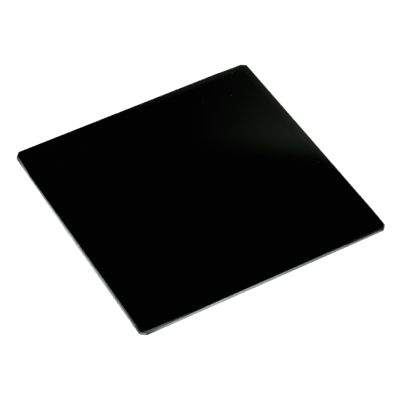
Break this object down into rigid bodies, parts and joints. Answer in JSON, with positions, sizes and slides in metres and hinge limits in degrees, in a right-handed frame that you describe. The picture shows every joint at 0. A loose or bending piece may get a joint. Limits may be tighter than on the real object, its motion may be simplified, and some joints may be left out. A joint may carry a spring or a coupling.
{
  "type": "square neutral density filter",
  "caption": "Square plate of near-opaque grey optical glass with dubbed corners and ground, arrised edges, which slides into the guide slots of a lens filter holder.",
  "frame": {"origin": "centre of the rear face, which the plate rests on", "axes": "+Z along the optical axis, from the rear face to the front face; +X and +Y square to the side edges"},
  "size_m": [0.1, 0.1, 0.002],
  "materials": {
    "nd_glass": "polished faces, fine ground edges; so dense that it looks opaque black"
  },
  "bodies": {
    "root": {"filter_plate": "nd_glass"}
  },
  "joints": []
}
